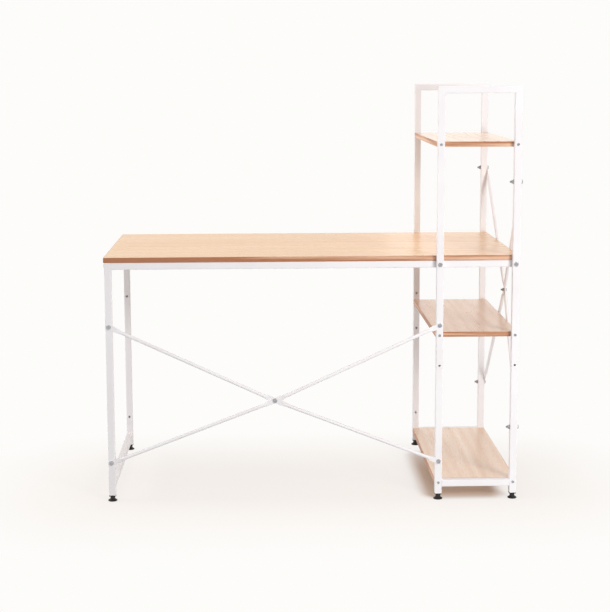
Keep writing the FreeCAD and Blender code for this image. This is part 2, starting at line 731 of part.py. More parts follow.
def group(label, master, spots):
    """Copies of one small piece, each at a place with its own Z turned to a direction."""
    copies = []
    for where, way in spots:
        copy = master.Shape.copy()
        copy.Placement = FreeCAD.Placement(where, FreeCAD.Rotation(UP, way))
        copies.append(copy)
    feature = doc.addObject("Part::Feature", label)
    feature.Label = label
    feature.Shape = Part.makeCompound(copies)
    return keep(feature)


# bolts, washers and nuts of the braces
pad_lift = number("sizes.brace_flat_thickness")
brace_corners = [(corner, FRONT) for corner in (leg_top, leg_low, post_top, post_low)]
brace_corners += [(corner, RIGHT) for corner in SIDE_CORNERS]
crossings = [(front_crossing, FRONT), (side_crossing, RIGHT)]
group("brace_bolts", bolt("brace_bolt", "places.brace_bolt_end"),
      [(corner + out * pad_lift, out) for corner, out in brace_corners])
group("brace_middle_bolts", bolt("middle_bolt", "places.middle_bolt_end"),
      [(crossing + out * (pad_lift * 2), out) for crossing, out in crossings])

washer = revolve("washer", (
    ("places.washer_bore", ZERO), ("places.washer_radius", ZERO),
    ("places.washer_radius", "sizes.washer_thickness"), ("places.washer_bore", "sizes.washer_thickness")))
nut_blank = doc.addObject("Part::Prism", "nut_blank")
nut_blank.Polygon = 6
nut_blank.setExpression("Circumradius", "places.nut_radius")
nut_blank.setExpression("Height", "sizes.nut_thickness")
nut_thread = doc.addObject("Part::Cylinder", "nut_thread")
nut_thread.setExpression("Radius", "places.nut_bore")
nut_thread.setExpression("Height", "sizes.nut_thickness")
nut = doc.addObject("Part::Cut", "nut")
nut.Base, nut.Tool = nut_blank, nut_thread
doc.recompute()
tube_width = number("sizes.tube_size")
washer_lift = tube_width + number("sizes.washer_thickness")
group("brace_washers", washer, [(corner - out * tube_width, -out) for corner, out in brace_corners])
group("brace_nuts", nut, [(corner - out * washer_lift, -out) for corner, out in brace_corners]
      + [(crossing, -out) for crossing, out in crossings])

# bolts that hold the aprons to the tower, into rivet nuts, and to the left legs, into end plugs
post_spots = [(f"places.post_{hand}_x", f"places.{side}_face_y", f"places.{side}_edge", out)
              for hand in ("left", "right") for side, out in (("front", FRONT), ("rear", REAR))]
group("apron_bolts", bolt("apron_bolt", "places.apron_bolt_end"),
      [(spot(x, face, "places.apron_z"), out) for x, face, edge, out in post_spots])
rivet = revolve("rivet", (
    ("places.nut_bore", ZERO), ("places.rivet_radius", ZERO),
    ("places.rivet_radius", "places.rivet_bulge_start"), ("places.rivet_bulge_radius", "places.rivet_bulge_start"),
    ("places.rivet_bulge_radius", "places.rivet_bulge_end"), ("places.rivet_radius", "places.rivet_bulge_end"),
    ("places.rivet_radius", "places.rivet_end"), ("places.nut_bore", "places.rivet_end")))
group("apron_rivet_nuts", rivet, [(spot(x, edge, "places.apron_z"), out) for x, face, edge, out in post_spots])

leg_sides = ("places.leg_front_y", "places.leg_rear_y")
group("leg_bolts", bolt("leg_bolt", "places.leg_bolt_end"),
      [(spot("places.leg_outer_x", y, "places.apron_z"), LEFT) for y in leg_sides])
end_plug = new_body("end_plug")
plug_sketch = new_sketch(end_plug, "XY_Plane")
add_rectangle(plug_sketch, "places.plug_size", "places.plug_size")
add_circles(plug_sketch, [(ZERO, ZERO)], "places.plug_thread")
pad(end_plug, plug_sketch, "sizes.end_plug_length")
group("apron_end_plugs", end_plug, [(spot("places.leg_inner_x", y, "places.apron_z"), RIGHT) for y in leg_sides])

# plates welded over the right ends of the aprons
end_cap = new_body("end_cap")
cap_sketch = new_sketch(end_cap, "XY_Plane")
add_tube_outline(cap_sketch)
pad(end_cap, cap_sketch, "sizes.cap_thickness")
group("apron_end_caps", end_cap, [(spot("places.apron_end_x", y, "places.apron_z"), RIGHT) for y in leg_sides])

# wood screws into the shelves' edges and up into the desktop
group("shelf_screws", screw("shelf_screw", "places.shelf_screw_point", "places.shelf_screw_tip"),
      [(spot(x, face, f"places.{shelf}_screw_z"), out) for x, face, edge, out in post_spots
       for shelf in ("top", "middle", "bottom")])
group("desktop_screws", screw("desk_screw", "places.desk_screw_point", "places.desk_screw_tip"),
      [(spot(x, y, "places.apron_under_z"), DOWN) for y in leg_sides
       for x in ("places.desk_screw_left_x", "places.middle_x", "places.desk_screw_right_x")])

# threaded inserts in the tubes' lower ends
insert = new_body("insert")
insert_sketch = new_sketch(insert, "XY_Plane")
add_tube_outline(insert_sketch)
add_circles(insert_sketch, [(ZERO, ZERO)], "places.insert_hole")
pad(insert, insert_sketch, "sizes.insert_flange", True)
insert_sketch = new_sketch(insert, "XY_Plane")
add_rectangle(insert_sketch, "places.plug_size", "places.plug_size")
add_circles(insert_sketch, [(ZERO, ZERO)], "places.insert_hole")
pad(insert, insert_sketch, "sizes.insert_depth")
FEET = {
    "left_front": ("places.leg_x", "places.leg_front_y"),
    "left_rear": ("places.leg_x", "places.leg_rear_y"),
    "tower_front_left": ("places.post_left_x", "places.post_front_y"),
    "tower_front_right": ("places.post_right_x", "places.post_front_y"),
    "tower_rear_left": ("places.post_left_x", "places.post_rear_y"),
    "tower_rear_right": ("places.post_right_x", "places.post_rear_y"),
}
group("foot_inserts", insert, [(spot(x, y, "sizes.foot_height"), UP) for x, y in FEET.values()])

# levelling feet, each a threaded stem moulded into a pad
for name, (x, y) in FEET.items():
    stem = revolve(f"{name}_foot_stem", (
        (ZERO, "sizes.stem_seat"), ("places.stem_radius", "sizes.stem_seat"),
        ("places.stem_radius", "places.stem_straight_top"), ("places.stem_tip_radius", "places.stem_top"),
        (ZERO, "places.stem_top")))
    place(stem, x, y, ZERO)
    keep(stem)
    pad_piece = revolve(f"{name}_foot_pad", (
        (ZERO, ZERO), ("places.pad_radius", ZERO), ("places.pad_radius", "sizes.pad_rim"),
        ("places.neck_radius", "sizes.pad_shoulder"), ("places.neck_radius", "places.neck_top"),
        ("places.pad_bore", "places.neck_top"), ("places.pad_bore", "sizes.stem_seat"),
        (ZERO, "sizes.stem_seat")))
    place(pad_piece, x, y, ZERO)
    keep(pad_piece)

doc.recompute()
for thing in doc.Objects:
    if "Invalid" in thing.State or "Error" in thing.State:
        raise RuntimeError(f"{thing.Label} did not build")
os.makedirs("parts", exist_ok=True)
for thing in nodes:
    if thing.Shape.isNull() or not thing.Shape.isValid() or not thing.Shape.Solids:
        raise RuntimeError(f"{thing.Label} has no sound shape")
    thing.Shape.exportStep(f"parts/{thing.Label}.step")
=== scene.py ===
import json
import math

import bmesh
import bpy
from mathutils import Matrix, Vector

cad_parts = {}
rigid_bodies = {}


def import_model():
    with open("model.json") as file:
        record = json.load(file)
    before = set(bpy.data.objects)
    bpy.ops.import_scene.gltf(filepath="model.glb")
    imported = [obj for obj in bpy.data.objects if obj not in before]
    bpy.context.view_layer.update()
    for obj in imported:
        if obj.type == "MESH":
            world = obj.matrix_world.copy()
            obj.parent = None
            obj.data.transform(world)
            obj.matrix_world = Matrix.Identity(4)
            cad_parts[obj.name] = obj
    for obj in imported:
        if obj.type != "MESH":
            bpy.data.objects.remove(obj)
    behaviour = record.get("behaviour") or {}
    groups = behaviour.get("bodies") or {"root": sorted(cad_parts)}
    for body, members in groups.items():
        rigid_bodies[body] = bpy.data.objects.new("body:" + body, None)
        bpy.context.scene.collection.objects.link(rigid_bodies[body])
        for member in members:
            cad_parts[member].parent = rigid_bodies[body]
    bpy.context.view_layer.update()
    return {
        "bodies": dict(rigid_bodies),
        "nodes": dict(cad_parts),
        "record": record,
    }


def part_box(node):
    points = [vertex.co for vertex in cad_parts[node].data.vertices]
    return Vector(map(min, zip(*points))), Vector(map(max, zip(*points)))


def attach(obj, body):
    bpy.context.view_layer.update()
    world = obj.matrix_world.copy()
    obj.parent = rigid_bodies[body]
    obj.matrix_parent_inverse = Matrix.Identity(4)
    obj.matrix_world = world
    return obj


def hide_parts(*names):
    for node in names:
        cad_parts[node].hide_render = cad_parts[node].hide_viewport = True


# The looks of a desk with a shelf tower: materials, fasteners, feet and welds, the stage, the lamps
# and the camera. Lengths are in metres. X runs to the right, Y to the back and Z up from the floor.

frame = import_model()
nodes = frame["nodes"]
scene = bpy.context.scene

MM = 0.001
X_AXIS, Y_AXIS = 0, 1
ZERO = (0.0, 0.0, 0.0)
UP = Vector((0.0, 0.0, 1.0))
WHITE = (1.0, 1.0, 1.0, 1.0)
BLACK = (0.0, 0.0, 0.0, 1.0)


# nodes of the materials, the floor and the sky

def tint(red, green, blue):
    """A colour as the eye reads it, 0 to 255, turned into what a shader takes."""
    levels = []
    for level in (red, green, blue):
        part = level / 255
        levels.append(part / 12.92 if part <= 0.04045 else ((part + 0.055) / 1.055) ** 2.4)
    return (*levels, 1.0)


def give(tree, socket, value):
    """Links a socket, or sets it where the value is plain."""
    if isinstance(value, bpy.types.NodeSocket):
        tree.links.new(value, socket)
    else:
        socket.default_value = value


def add_node(tree, kind, inputs=None, **settings):
    """A new node with its settings and inputs."""
    made = tree.nodes.new(kind)
    for key, value in settings.items():
        setattr(made, key, value)
    for key, value in (inputs or {}).items():
        give(tree, made.inputs[key], value)
    return made


def reckon(tree, operation, *values):
    """A sum, or other arithmetic, on numbers."""
    made = add_node(tree, "ShaderNodeMath", dict(enumerate(values)), operation=operation)
    return made.outputs["Value"]


def reckon_vector(tree, operation, *values):
    """The same on vectors. It gives a number only where it takes a length."""
    made = add_node(tree, "ShaderNodeVectorMath", dict(enumerate(values)), operation=operation)
    return made.outputs["Value" if operation == "LENGTH" else "Vector"]


def span(tree, value, low, high, source=(0.0, 1.0), smooth=False):
    """A value mapped from a source range to another one."""
    start, end = source
    inputs = {"Value": value, "From Min": start, "From Max": end, "To Min": low, "To Max": high}
    course = "SMOOTHSTEP" if smooth else "LINEAR"
    return add_node(tree, "ShaderNodeMapRange", inputs, interpolation_type=course).outputs["Result"]


class Paint:
    """One procedural material, built node by node."""

    def __init__(self, name):
        self.material = bpy.data.materials.new(name)
        self.material.use_nodes = True
        self.tree = self.material.node_tree
        self.surface = self.tree.nodes["Principled BSDF"]
        self.where = self.node("ShaderNodeTexCoord").outputs["Object"]

    def node(self, kind, inputs=None, **settings):
        return add_node(self.tree, kind, inputs, **settings)

    def reckon(self, operation, *values):
        return reckon(self.tree, operation, *values)

    def span(self, value, low, high, **options):
        return span(self.tree, value, low, high, **options)

    def stretched(self, vector, scale, offset=ZERO):
        """Places scaled along each axis and then moved."""
        inputs = {"Vector": vector, "Location": offset, "Scale": scale}
        return self.node("ShaderNodeMapping", inputs).outputs["Vector"]

    def noise(self, vector, scale=1.0, detail=2.0):
        """Soft random values from 0 to 1."""
        inputs = {"Vector": vector, "Scale": scale, "Detail": detail}
        return self.node("ShaderNodeTexNoise", inputs).outputs["Fac"]

    def ramp(self, value, *stops):
        """Colours at stops along a value from 0 to 1."""
        made = self.node("ShaderNodeValToRGB", {"Fac": value})
        elements = made.color_ramp.elements
        while len(elements) < len(stops):
            elements.new(0.5)
        for element, (at, colour) in zip(elements, stops):
            element.position = at
            element.color = colour
        return made.outputs["Color"]

    def mix(self, kind, amount, under, over):
        """One colour laid on another. The node has sockets for other kinds of data, so these go by number."""
        inputs = {0: amount, 6: under, 7: over}
        return self.node("ShaderNodeMix", inputs, data_type="RGBA", blend_type=kind).outputs[2]

    def bump(self, height, depth):
        """The surface's direction where a height from 0 to 1 stands for a depth."""
        inputs = {"Height": height, "Strength": 1.0, "Distance": depth}
        return self.node("ShaderNodeBump", inputs).outputs["Normal"]

    def finish(self, **values):
        """Sets the surface: colour, roughness, bump and whatever else it needs."""
        for key, value in values.items():
            give(self.tree, self.surface.inputs[key.replace("_", " ")], value)
        return self.material


# materials

COAT_TONES = (tint(236, 232, 233), tint(241, 239, 240))
ZINC_TONES = (tint(160, 161, 164), tint(198, 199, 202))
PLASTIC_TONES = (tint(22, 20, 20), tint(34, 31, 30))
CLOUD_STOPS = (0.3, 0.7)
DESK_TONES = (tint(247, 210, 165), tint(243, 202, 155), tint(238, 193, 144))
# The shelves' tones are paler and greyer than the desktop's: a painted sheen for the glare of the white
# surroundings on them.
SHEENED_SHELF_TONES = (tint(240, 216, 194), tint(237, 211, 188), tint(234, 206, 182))
BOARD_STOPS = (0.28, 0.5, 0.72)
RING_TONES = (WHITE, tint(252, 247, 241), tint(244, 233, 221))
RING_STOPS = (0.0, 0.55, 1.0)
RING_STRENGTH = 0.55
PORE_TONE = tint(236, 220, 205)
# a pale strip of painted light running to the back across the bottom shelf
PAINTED_LIGHT_STRIP_TONE = tint(246, 226, 206)
PAINTED_LIGHT_STRIP_PLACE = 0.487
PAINTED_LIGHT_STRIP_HALF = 14.0 * MM
PAINTED_LIGHT_STRIP_STRENGTH = 0.6
# Edging tones. The pale last stop shows mostly towards the tower, where the edging is painted lighter.
EDGE_TONES = (tint(180, 124, 91), tint(178, 121, 87), tint(234, 195, 166))
EDGE_STOPS = (0.3, 0.5, 0.72)
# painted light: how far, and how much, the edging is painted lighter to the right and darker to the left, as
# light from the right falls on it
EDGE_PAINTED_LIGHT_REACH = 0.6
EDGE_PAINTED_LIGHT = 0.15
EDGE_LINE_TONE = tint(225, 210, 198)
EDGE_LINE_STRENGTH = 0.6


def powder_coat():
    """Satin white powder coat with a faint orange peel."""
    paint = Paint("white_powder_coat")
    cloud = paint.noise(paint.where, scale=9.0, detail=3.0)
    peel = paint.noise(paint.where, scale=650.0)
    tone = paint.ramp(cloud, *zip(CLOUD_STOPS, COAT_TONES))
    return paint.finish(Base_Color=tone, Roughness=paint.span(cloud, 0.36, 0.48),
                        Normal=paint.bump(peel, depth=0.02 * MM), Specular_IOR_Level=0.45)


def oak_laminate(name, grain, offset, tones, painted_light_strip=None):
    """Printed oak laminate with its grain along x or y: broad tones, a drawn-out figure and fine pores.
    A pale strip of painted light may run to the back at a given x."""
    paint = Paint(name)

    def drawn(along, across):
        scale = (along, across, across) if grain == "x" else (across, along, across)
        return paint.stretched(paint.where, scale, offset)

    broad = paint.noise(drawn(along=0.7, across=11.0), detail=3.0)
    sway = paint.noise(drawn(along=1.6, across=5.0))
    inputs = {"Vector": drawn(along=0.35, across=9.0), "Scale": 1.0, "Distortion": 7.0, "Detail": 3.0,
              "Detail Scale": 1.1, "Phase Offset": paint.span(sway, 0.0, 5.0)}
    direction = "Y" if grain == "x" else "X"
    figure = paint.node("ShaderNodeTexWave", inputs, bands_direction=direction).outputs["Fac"]
    pores = paint.noise(drawn(along=30.0, across=1500.0))
    dashes = paint.ramp(pores, (0.52, WHITE), (0.66, BLACK))
    tone = paint.ramp(broad, *zip(BOARD_STOPS, tones))
    # painted light: a pale strip where light falls across the board
    if painted_light_strip is not None:
        x = paint.node("ShaderNodeSeparateXYZ", {"Vector": paint.where}).outputs["X"]
        gap = paint.reckon("ABSOLUTE", paint.reckon("SUBTRACT", x, painted_light_strip))
        amount = paint.span(gap, PAINTED_LIGHT_STRIP_STRENGTH, 0.0, source=(0.0, PAINTED_LIGHT_STRIP_HALF), smooth=True)
        tone = paint.mix("MIX", amount, tone, PAINTED_LIGHT_STRIP_TONE)
    rings = paint.ramp(figure, *zip(RING_STOPS, RING_TONES))
    tone = paint.mix("MULTIPLY", RING_STRENGTH, tone, rings)
    tone = paint.mix("MULTIPLY", 1.0, tone, paint.ramp(dashes, (0.0, PORE_TONE), (1.0, WHITE)))
    return paint.finish(Base_Color=tone, Roughness=paint.span(broad, 0.24, 0.31),
                        Normal=paint.bump(dashes, depth=0.012 * MM), Specular_IOR_Level=0.36)


def oak_edge():
    """Printed oak edging, with its grain along the edge on all four sides, and painted lighter towards the
    tower on the right, where more light falls.
    """
    paint = Paint("oak_edging")
    split = paint.node("ShaderNodeSeparateXYZ", {"Vector": paint.where}).outputs
    run = paint.reckon("ADD", split["X"], split["Y"])
    line = paint.node("ShaderNodeCombineXYZ", {"X": run, "Z": split["Z"]}).outputs["Vector"]

    def drawn(along, across):
        return paint.stretched(line, (along, 1.0, across))

    broad = paint.noise(drawn(along=1.6, across=90.0), detail=3.0)
    lines = paint.noise(drawn(along=35.0, across=1800.0))
    # painted light: lighter towards the tower on the right, darker towards the left
    painted_light = paint.span(split["X"], -EDGE_PAINTED_LIGHT, EDGE_PAINTED_LIGHT, source=(-EDGE_PAINTED_LIGHT_REACH, EDGE_PAINTED_LIGHT_REACH))
    tone = paint.ramp(paint.reckon("ADD", broad, painted_light), *zip(EDGE_STOPS, EDGE_TONES))
    fine = paint.ramp(lines, (0.4, EDGE_LINE_TONE), (0.6, WHITE))
    tone = paint.mix("MULTIPLY", EDGE_LINE_STRENGTH, tone, fine)
    return paint.finish(Base_Color=tone, Roughness=paint.span(lines, 0.48, 0.4),
                        Normal=paint.bump(lines, depth=0.02 * MM), Specular_IOR_Level=0.35)


def zinc():
    """Zinc-plated steel: pale grey, a little cloudy."""
    paint = Paint("zinc_plate")
    cloud = paint.noise(paint.where, scale=260.0, detail=3.0)
    fine = paint.noise(paint.where, scale=2600.0)
    tone = paint.ramp(cloud, *zip(CLOUD_STOPS, ZINC_TONES))
    return paint.finish(Base_Color=tone, Metallic=1.0, Roughness=paint.span(cloud, 0.3, 0.44),
                        Normal=paint.bump(fine, depth=0.01 * MM))


def black_plastic():
    """Moulded black plastic with a fine matt grain."""
    paint = Paint("black_moulding")
    grain = paint.noise(paint.where, scale=2200.0)
    cloud = paint.noise(paint.where, scale=70.0)
    tone = paint.ramp(cloud, *zip(CLOUD_STOPS, PLASTIC_TONES))
    return paint.finish(Base_Color=tone, Roughness=paint.span(grain, 0.42, 0.6),
                        Normal=paint.bump(grain, depth=0.03 * MM))


# each board's offset gives it a figure of its own
BOARD_LOOKS = {
    "desktop": oak_laminate("oak_desktop", "x", ZERO, DESK_TONES),
    "top_shelf": oak_laminate("oak_top_shelf", "y", (3.1, 1.7, 0.0), SHEENED_SHELF_TONES),
    "middle_shelf": oak_laminate("oak_middle_shelf", "y", (5.3, 4.2, 0.0), SHEENED_SHELF_TONES),
    "bottom_shelf": oak_laminate("oak_bottom_shelf", "y", (8.7, 6.4, 0.0), SHEENED_SHELF_TONES, PAINTED_LIGHT_STRIP_PLACE),
}
SLOT_LOOKS = {
    "white_frame": powder_coat(),
    "oak_edge": oak_edge(),
    "zinc_steel": zinc(),
    "black_plastic": black_plastic(),
}


def dress(piece, look):
    """Gives a piece one material."""
    piece.data.materials.clear()
    piece.data.materials.append(look)


for entry in frame["record"]["subparts"]:
    name = entry["node"]
    dress(nodes[name], BOARD_LOOKS.get(name) or SLOT_LOOKS[entry["material_slot"]])

# fasteners, each built of rings stacked along Z

RING_STEPS = 48
DOME_ROWS = 7
THREAD_ROWS_PER_TURN = 6
SHARP_ANGLE = math.radians(35)
SAME_POINT = 0.001 * MM
RIM_SLACK = 0.1 * MM
THREAD_END = 0.1 * MM
TINY = 1e-9

BOLT_RADIUS = 3.0 * MM
BOLT_PITCH = 1.0 * MM
BOLT_RIDGE = 0.45 * MM
BOLT_BEVEL = 0.7 * MM
BOLT_NECK = 0.25 * MM
BOLT_THREAD_START = 0.8 * MM
BOLT_PLAIN_START = 1.2 * MM
BOLT_HEAD = 3.6 * MM
BOLT_HEAD_RADIUS = 6.5 * MM
BOLT_FLAT_RADIUS = 3.1 * MM
BOLT_RIM = 0.3 * MM
LOW_BOLT_HEAD = 1.6 * MM
SOCKET_MOUTH = 4.3 * MM
SOCKET_WIDTH = 4.0 * MM
SOCKET_BEVEL = 0.2 * MM
SOCKET_DEPTH = 2.2 * MM
BRACE_THREAD = 11.0 * MM
MIDDLE_THREAD = 10.0 * MM

SCREW_RADIUS = 2.0 * MM
SCREW_TIP_RADIUS = 0.2 * MM
SCREW_POINT = 4.0 * MM
SCREW_HEAD = 2.4 * MM
SCREW_HEAD_RADIUS = 4.0 * MM
SCREW_FLAT_RADIUS = 2.1 * MM
SCREW_RIM_WIDTH = 0.2 * MM
SCREW_RIM_HEIGHT = 0.25 * MM
SCREW_DOME_LIFT = 0.05 * MM
LOW_SCREW_HEAD = 1.1 * MM
SLOT_MOUTH = (1.8 * MM, 1.1 * MM)
SLOT_FLOOR = (1.2 * MM, 0.8 * MM)
SLOT_DEPTH = 1.4 * MM

NUT_WIDTH = 10.0 * MM
NUT_TURNED_RADIUS = 5.15 * MM
NUT_BORE = 3.1 * MM
NUT_BEVEL = 0.45 * MM


def ringed(rows, hollow=False):
    """A solid of stacked rings. Each row gives a height and a radius, or a rule for the radius at an
    angle. A hollow one closes on its first ring."""
    shape = bmesh.new()
    rings = []
    for height, radius in rows:
        ring = []
        for step in range(RING_STEPS):
            angle = math.tau * step / RING_STEPS
            reach = radius(angle) if callable(radius) else radius
            ring.append(shape.verts.new((reach * math.cos(angle), reach * math.sin(angle), height)))
        rings.append(ring)
    pairs = list(zip(rings, rings[1:]))
    if hollow:
        pairs.append((rings[-1], rings[0]))
    for low, high in pairs:
        for step in range(RING_STEPS):
            after = (step + 1) % RING_STEPS
            shape.faces.new((low[step], low[after], high[after], high[step]))
    if not hollow:
        shape.faces.new(rings[0][::-1])
        shape.faces.new(rings[-1])
    return shape


def hexagon(width):
    """The outline of a hexagon, by its width across flats."""
    return lambda angle: width / 2 / math.cos(angle % (math.pi / 3) - math.pi / 6)


def cross(reach, width):
    """The outline of a crossed slot, by its arms' reach and width."""
    def outline(angle):
        c, s = max(abs(math.cos(angle)), TINY), max(abs(math.sin(angle)), TINY)
        return max(min(reach / c, width / 2 / s), min(width / 2 / c, reach / s))
    return outline


def thread(radius, pitch, depth, low, high):
    """Rows of a screw thread between two heights."""
    def row(height):
        def ridge(angle):
            phase = (height / pitch - angle / math.tau) % 1.0
            return radius - depth * abs(2 * phase - 1)
        return height, ridge
    count = math.ceil((high - low) / pitch * THREAD_ROWS_PER_TURN)
    return [row(low + (high - low) * step / count) for step in range(count + 1)]


def dome(low, high, wide, narrow):
    """Rows of a rounded head, from its rim to its flat top."""
    rows = []
    for step in range(DOME_ROWS + 1):
        angle = math.pi / 2 * step / DOME_ROWS
        rows.append((low + (high - low) * math.sin(angle), narrow + (wide - narrow) * math.cos(angle)))
    return rows


def bolt(length, threaded, top=BOLT_HEAD):
    """A button-headed bolt with a six-sided socket, its head's underside at zero."""
    end = -length
    tail = [(end, BOLT_RADIUS - BOLT_BEVEL), (end + BOLT_BEVEL, BOLT_RADIUS - BOLT_NECK)]
    ridges = []
    if threaded:
        ridges = thread(BOLT_RADIUS, BOLT_PITCH, BOLT_RIDGE, end + BOLT_THREAD_START, end + threaded)
    shank_start = end + (threaded or BOLT_PLAIN_START) + THREAD_END
    shank = [(shank_start, BOLT_RADIUS), (0.0, BOLT_RADIUS)]
    head = [(0.0, BOLT_HEAD_RADIUS - BOLT_RIM), (BOLT_RIM, BOLT_HEAD_RADIUS)]
    head += dome(top / 4, top, BOLT_HEAD_RADIUS, BOLT_FLAT_RADIUS)
    socket = [(top, hexagon(SOCKET_MOUTH)), (top - SOCKET_BEVEL, hexagon(SOCKET_WIDTH)),
              (top - SOCKET_DEPTH, hexagon(SOCKET_WIDTH))]
    return ringed(tail + ridges + shank + head + socket)


def screw(length, top=SCREW_HEAD):
    """A pan-headed wood screw with a crossed slot, its head's underside at zero."""
    shank = [(-length, SCREW_TIP_RADIUS), (-length + SCREW_POINT, SCREW_RADIUS), (0.0, SCREW_RADIUS)]
    head = [(0.0, SCREW_HEAD_RADIUS - SCREW_RIM_WIDTH), (SCREW_RIM_HEIGHT, SCREW_HEAD_RADIUS)]
    head += dome(top / 4 + SCREW_DOME_LIFT, top, SCREW_HEAD_RADIUS, SCREW_FLAT_RADIUS)
    slot = [(top, cross(*SLOT_MOUTH)), (top - SLOT_DEPTH, cross(*SLOT_FLOOR))]
    return ringed(shank + head + slot)


def nut(length):
    """A six-sided nut with its corners turned off, from zero up."""
    flats = hexagon(NUT_WIDTH)

    def turned(angle):
        return min(flats(angle), NUT_TURNED_RADIUS)

    lower = [(0.0, NUT_BORE), (0.0, turned), (NUT_BEVEL, flats)]
    upper = [(length - NUT_BEVEL, flats), (length, turned), (length, NUT_BORE)]
    return ringed(lower + upper, hollow=True)


def lumps(node):
    """The separate solids of a node, each as a list of its points."""
    shape = bmesh.new()
    shape.from_mesh(nodes[node].data)
    bmesh.ops.remove_doubles(shape, verts=shape.verts, dist=SAME_POINT)
    left = set(shape.verts)
    found = []
    while left:
        todo = [left.pop()]
        lump = []
        while todo:
            point = todo.pop()
            lump.append(point.co.copy())
            for edge in point.link_edges:
                other = edge.other_vert(point)
                if other in left:
                    left.remove(other)
                    todo.append(other)
        found.append(lump)
    shape.free()
    return sorted(found, key=lambda lump: min(tuple(point) for point in lump))


def seat(lump, shortest):
    """Where a fastener sits: the end that its head or upper face reaches, the way it faces, and its
    length, which is its shortest or its longest side."""
    low = Vector(min(point[axis] for point in lump) for axis in range(3))
    high = Vector(max(point[axis] for point in lump) for axis in range(3))
    size = high - low
    choose = min if shortest else max
    axis = choose(range(3), key=lambda a: size[a])
    middle = (low + high) / 2
    way = Vector(ZERO)
    way[axis] = 1.0
    offsets = [point - middle for point in lump]
    rims = [(offset - way * offset.dot(way)).length for offset in offsets]
    widest = max(rims) - RIM_SLACK
    rim_heights = [offset.dot(way) for offset, rim in zip(offsets, rims) if rim > widest]
    if sum(rim_heights) < 0 and not shortest:
        way.negate()
    return middle + way * (size[axis] / 2), way, size[axis]


def new_piece(name, shape, look):
    """An object from a finished shape, smooth but for its sharp edges."""
    bmesh.ops.recalc_face_normals(shape, faces=shape.faces)
    mesh = bpy.data.meshes.new(name)
    shape.to_mesh(mesh)
    shape.free()
    for face in mesh.polygons:
        face.use_smooth = True
    mesh.set_sharp_from_angle(angle=SHARP_ANGLE)
    piece = bpy.data.objects.new(name, mesh)
    scene.collection.objects.link(piece)
    dress(piece, SLOT_LOOKS[look])
    return piece


def gather(whole, part, place, way):
    """Moves a part into a whole, its own Z turned to a direction."""
    turn = Matrix.Translation(place) @ way.to_track_quat("Z", "Y").to_matrix().to_4x4()
    bmesh.ops.transform(part, matrix=turn, verts=part.verts)
    mesh = bpy.data.meshes.new("part")
    part.to_mesh(mesh)
    part.free()
    whole.from_mesh(mesh)
    bpy.data.meshes.remove(mesh)


def refit(node, make, head, shortest=False):
    """Detailed fasteners in the seats of a node's plain ones. Each is made from its length below the
    plain one's head."""
    whole = bmesh.new()
    for lump in lumps(node):
        top, way, length = seat(lump, shortest)
        below = length if shortest else head
        gather(whole, make(length - head), top - way * below, way)
    piece = new_piece(f"{node}_set", whole, "zinc_steel")
    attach(piece, "desk")
    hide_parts(node)


refit("brace_bolts", lambda length: bolt(length, BRACE_THREAD), BOLT_HEAD)
refit("brace_middle_bolts", lambda length: bolt(length, MIDDLE_THREAD), BOLT_HEAD)
refit("apron_bolts", lambda length: bolt(length, 0.0), BOLT_HEAD)
refit("leg_bolts", lambda length: bolt(length, 0.0, LOW_BOLT_HEAD), BOLT_HEAD)
refit("shelf_screws", screw, SCREW_HEAD)
refit("desktop_screws", lambda length: screw(length, LOW_SCREW_HEAD), SCREW_HEAD)
refit("brace_nuts", nut, 0.0, shortest=True)

# levelling feet: a moulded pad and a threaded stem each

STEM_RADIUS = 4.0 * MM
STEM_BORE = 4.1 * MM
STEM_SEAT = 4.0 * MM
STEM_PITCH = 1.25 * MM
STEM_RIDGE = 0.6 * MM
STEM_THREAD_TOP = 30.0 * MM
STEM_PLAIN_START = 30.2 * MM
STEM_BEVEL = 1.0 * MM
# heights and radii of the pad's side in millimetres, from the floor up
PAD_CURVE = ((0.0, 12.7), (0.5, 13.2), (1.3, 13.5), (2.2, 13.4), (3.0, 12.8), (3.8, 11.5), (4.7, 9.9),
             (5.7, 8.6), (6.8, 7.7), (8.0, 7.2), (9.4, 7.0), (14.0, 7.0), (14.45, 6.85), (14.7, 6.5))


def make_foot(body):
    """The pad and the stem of one foot, in the place of its plain ones."""
    low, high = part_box(f"{body}_pad")
    middle = (low + high) / 2
    place = Vector((middle.x, middle.y, 0.0))
    rows = [(height * MM, radius * MM) for height, radius in PAD_CURVE]
    rows += [(high.z, STEM_BORE), (STEM_SEAT, STEM_BORE)]
    pad = bmesh.new()
    gather(pad, ringed(rows), place, UP)
    stem_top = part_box(f"{body}_stem")[1].z
    rows = [(STEM_SEAT, STEM_RADIUS - STEM_RIDGE)]
    rows += thread(STEM_RADIUS, STEM_PITCH, STEM_RIDGE, STEM_SEAT + THREAD_END, STEM_THREAD_TOP)
    rows += [(STEM_PLAIN_START, STEM_RADIUS), (stem_top - STEM_BEVEL, STEM_RADIUS),
             (stem_top, STEM_RADIUS - STEM_BEVEL)]
    stem = bmesh.new()
    gather(stem, ringed(rows), place, UP)
    for part, shape, slot in (("pad", pad, "black_plastic"), ("stem", stem, "zinc_steel")):
        piece = new_piece(f"{body}_{part}_turned", shape, slot)
        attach(piece, body)
        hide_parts(f"{body}_{part}")


for body in frame["bodies"]:
    if body != "desk":
        make_foot(body)

# weld beads in the inner corners of the frames

BEAD_SIZE = 2.2 * MM
BEAD_INSET = 2.6 * MM
BEAD_STEPS = 40
BEAD_ARC = 6
BEAD_RIPPLES = 7
BEAD_RIPPLE_DEPTH = 0.07
BEAD_TIP = 0.1
BEAD_BLUNTNESS = 8


